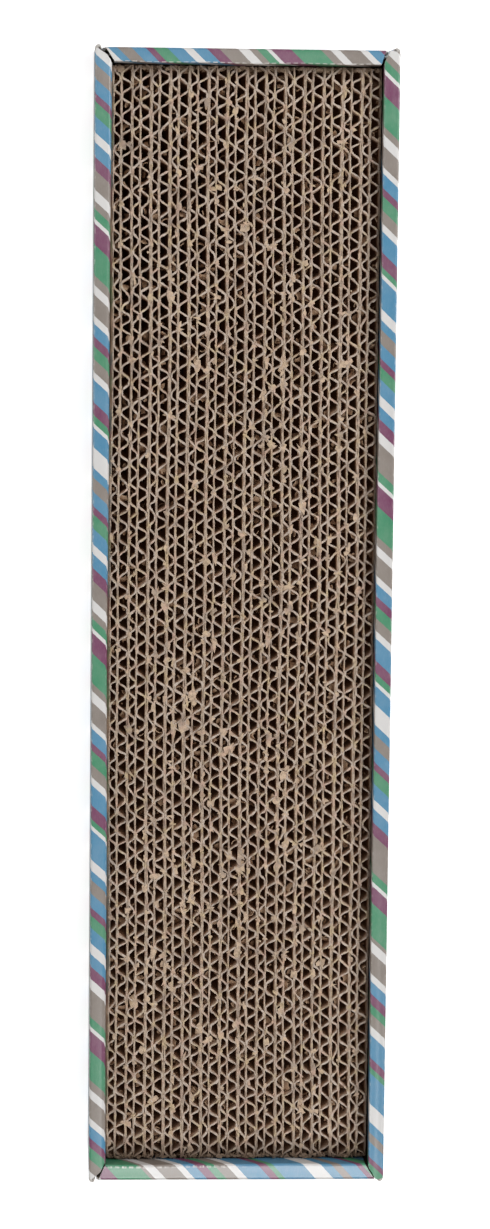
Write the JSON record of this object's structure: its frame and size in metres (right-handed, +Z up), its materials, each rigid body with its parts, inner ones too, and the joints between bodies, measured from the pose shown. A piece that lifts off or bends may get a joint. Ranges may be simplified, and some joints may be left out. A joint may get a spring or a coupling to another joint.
{
  "type": "cardboard cat scratcher",
  "caption": "Long, low folded board tray with diagonal stripes, holding a loose scratching pad of double-wall corrugated strips set on edge with their flutes upright.",
  "frame": {"origin": "middle of the tray's underside", "axes": "+Z up out of the tray's open top, +Y along the tray to its head end, +X to the right of someone looking down with the head end away from them"},
  "size_m": [0.1262, 0.4782, 0.05],
  "materials": {
    "printed_board": "diagonally striped print, satin varnish",
    "kraft_liner": "raw kraft paper, rough cut edges",
    "kraft_medium": "raw kraft paper, rough cut edges"
  },
  "bodies": {
    "tray": {"base_panel": "printed_board", "left_wall": "printed_board", "right_wall": "printed_board", "head_wall": "printed_board", "foot_wall": "printed_board", "head_left_flap": "printed_board", "head_right_flap": "printed_board", "foot_left_flap": "printed_board", "foot_right_flap": "printed_board"},
    "pad": {"strip_01_liners": "kraft_liner", "strip_01_fine_flute": "kraft_medium", "strip_01_coarse_flute": "kraft_medium", "strip_02_liners": "kraft_liner", "strip_02_fine_flute": "kraft_medium", "strip_02_coarse_flute": "kraft_medium", "strip_03_liners": "kraft_liner", "strip_03_fine_flute": "kraft_medium", "strip_03_coarse_flute": "kraft_medium", "strip_04_liners": "kraft_liner", "strip_04_fine_flute": "kraft_medium", "strip_04_coarse_flute": "kraft_medium", "strip_05_liners": "kraft_liner", "strip_05_fine_flute": "kraft_medium", "strip_05_coarse_flute": "kraft_medium", "strip_06_liners": "kraft_liner", "strip_06_fine_flute": "kraft_medium", "strip_06_coarse_flute": "kraft_medium", "strip_07_liners": "kraft_liner", "strip_07_fine_flute": "kraft_medium", "strip_07_coarse_flute": "kraft_medium", "strip_08_liners": "kraft_liner", "strip_08_fine_flute": "kraft_medium", "strip_08_coarse_flute": "kraft_medium", "strip_09_liners": "kraft_liner", "strip_09_fine_flute": "kraft_medium", "strip_09_coarse_flute": "kraft_medium", "strip_10_liners": "kraft_liner", "strip_10_fine_flute": "kraft_medium", "strip_10_coarse_flute": "kraft_medium", "strip_11_liners": "kraft_liner", "strip_11_fine_flute": "kraft_medium", "strip_11_coarse_flute": "kraft_medium", "strip_12_liners": "kraft_liner", "strip_12_fine_flute": "kraft_medium", "strip_12_coarse_flute": "kraft_medium", "strip_13_liners": "kraft_liner", "strip_13_fine_flute": "kraft_medium", "strip_13_coarse_flute": "kraft_medium", "strip_14_liners": "kraft_liner", "strip_14_fine_flute": "kraft_medium", "strip_14_coarse_flute": "kraft_medium"}
  },
  "joints": [
    {"name": "pad_lift", "type": "slide", "parent": "tray", "child": "pad", "axis": [0, 0, 1], "range_m": [0, 0.05]}
  ]
}
